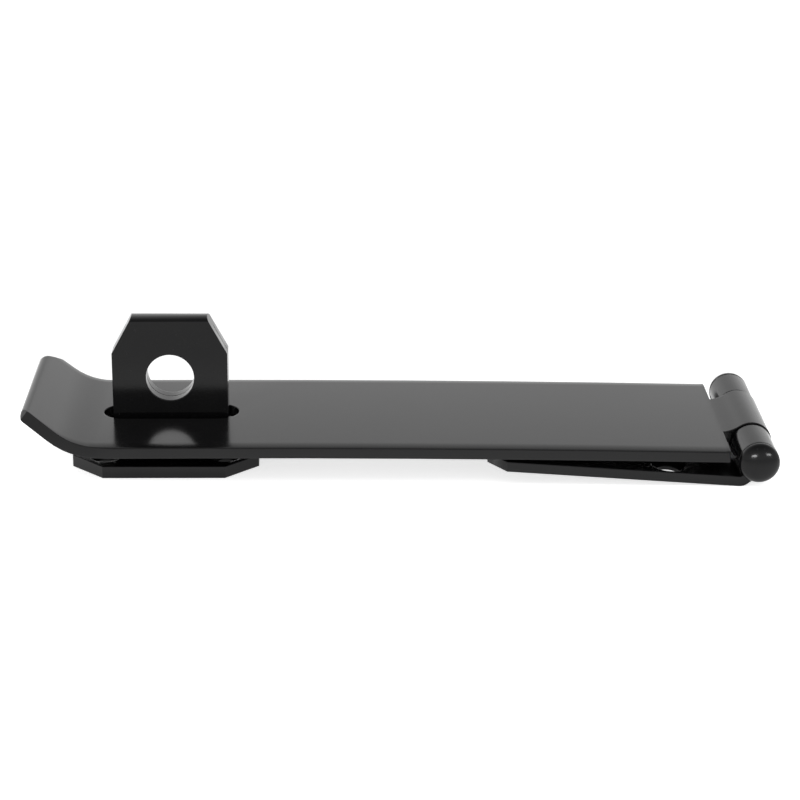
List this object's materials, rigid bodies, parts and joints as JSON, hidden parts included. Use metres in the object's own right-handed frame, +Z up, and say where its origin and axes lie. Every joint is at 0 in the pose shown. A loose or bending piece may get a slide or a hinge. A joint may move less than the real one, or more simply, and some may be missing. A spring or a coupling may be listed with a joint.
{
  "type": "hasp and staple",
  "caption": "Black coated steel hasp and staple: a slotted strap with a curled tip, hinged on a screw-down leaf and closed over a folded staple with a padlock hole.",
  "frame": {"origin": "on the ground under the middle of the bounding box, halfway between the strap's curled tip and the hinge", "axes": "+X along the strap from its curled tip to the hinge, +Y along the hinge pin, +Z up, out of the surfaces that the leaf and the staple are screwed to"},
  "size_m": [0.1482, 0.0454, 0.0288],
  "materials": {
    "strap_coat": "satin",
    "leaf_coat": "satin",
    "pin_coat": "satin",
    "staple_coat": "satin"
  },
  "bodies": {
    "leaf": {"hinge_leaf": "leaf_coat", "hinge_pin": "pin_coat"},
    "strap": {"strap": "strap_coat"},
    "staple": {"staple": "staple_coat"}
  },
  "joints": [
    {"name": "strap_hinge", "type": "hinge", "parent": "leaf", "child": "strap", "pos_m": [0.06986, 0, 0.00521], "axis": [0, 1, 0], "range_deg": [0, 175]},
    {"name": "staple_lift", "type": "slide", "parent": "leaf", "child": "staple", "axis": [0, 0, -1], "range_m": [0, 0.032]}
  ]
}
